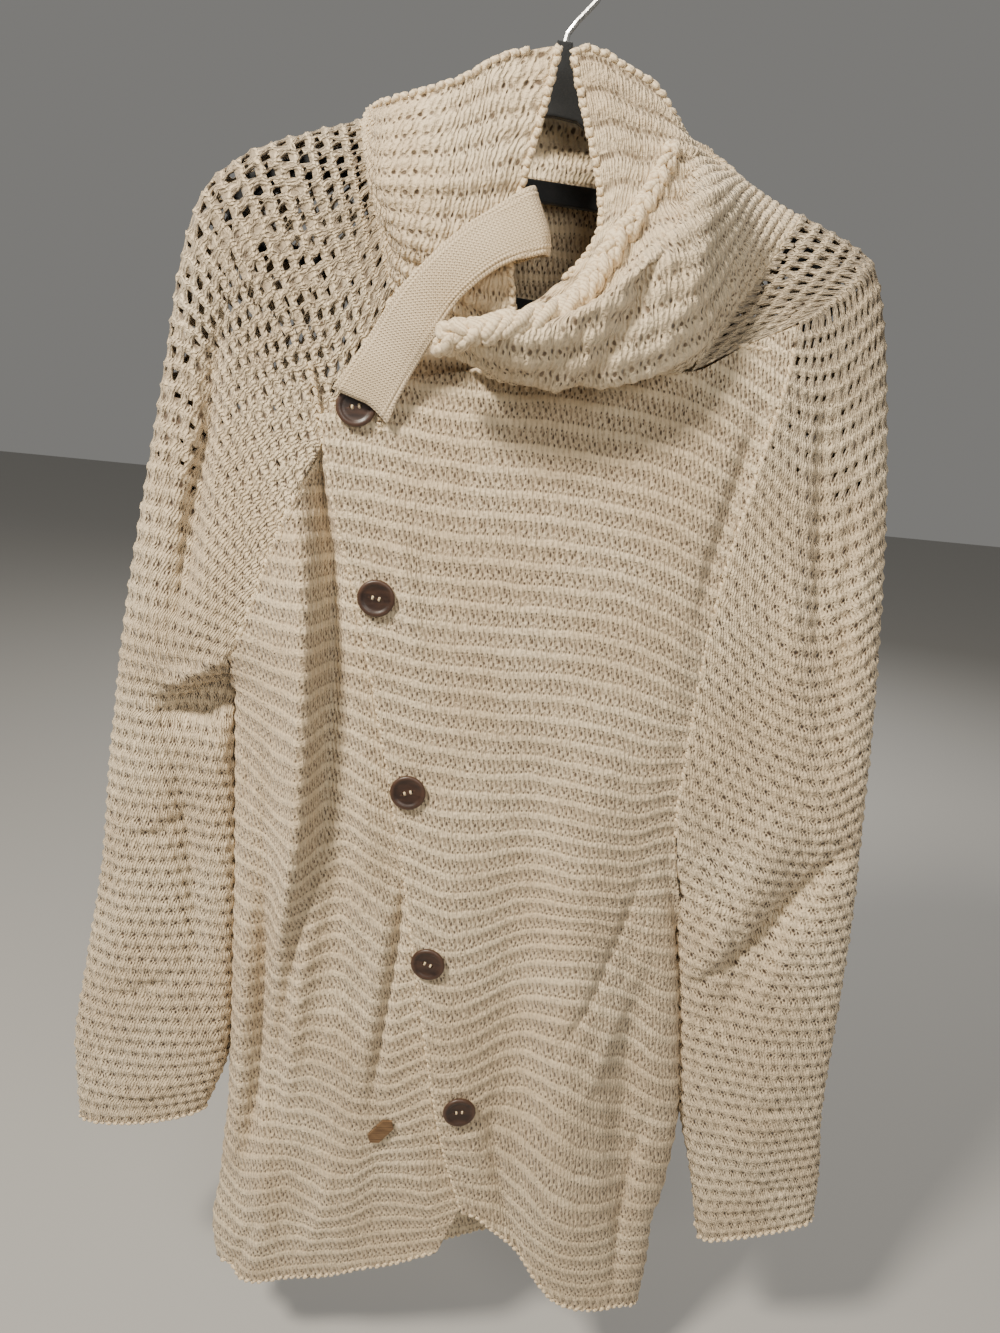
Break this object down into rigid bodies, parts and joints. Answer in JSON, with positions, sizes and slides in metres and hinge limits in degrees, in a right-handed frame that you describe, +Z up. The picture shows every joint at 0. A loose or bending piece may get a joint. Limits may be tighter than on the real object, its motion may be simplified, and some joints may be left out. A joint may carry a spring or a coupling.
{
  "type": "funnel neck cardigan on a clothes hanger",
  "caption": "Long loose chunky-knit cardigan with a tall slouching funnel collar, neck strap and slanted button closure, hanging on a flat hanger with a wire hook.",
  "frame": {"origin": "inside top of the hanger's hook, where it rests on a rail or peg", "axes": "+Z is up, the cardigan's front faces -Y, and the wearer's left is at +X"},
  "size_m": [0.6088, 0.1251, 0.9877],
  "materials": {
    "knit": "open chunky half-fisherman knit, cotton mix, matt",
    "jersey": "fine jersey, matt",
    "button": "dark brown horn effect, semi-gloss",
    "tag_wood": "plain stained wood, satin",
    "hanger_plastic": "flocked matt black",
    "hook_wire": "polished"
  },
  "bodies": {
    "root": {"back": "knit", "front_left": "knit", "front_right": "knit", "sleeve_left": "knit", "sleeve_right": "knit", "collar_left": "knit", "collar_right": "knit", "neck_strap": "jersey", "button_1": "button", "button_2": "button", "button_3": "button", "button_4": "button", "button_5": "button", "hem_tag": "tag_wood", "hanger_body": "hanger_plastic", "hanger_hook": "hook_wire"}
  },
  "joints": []
}
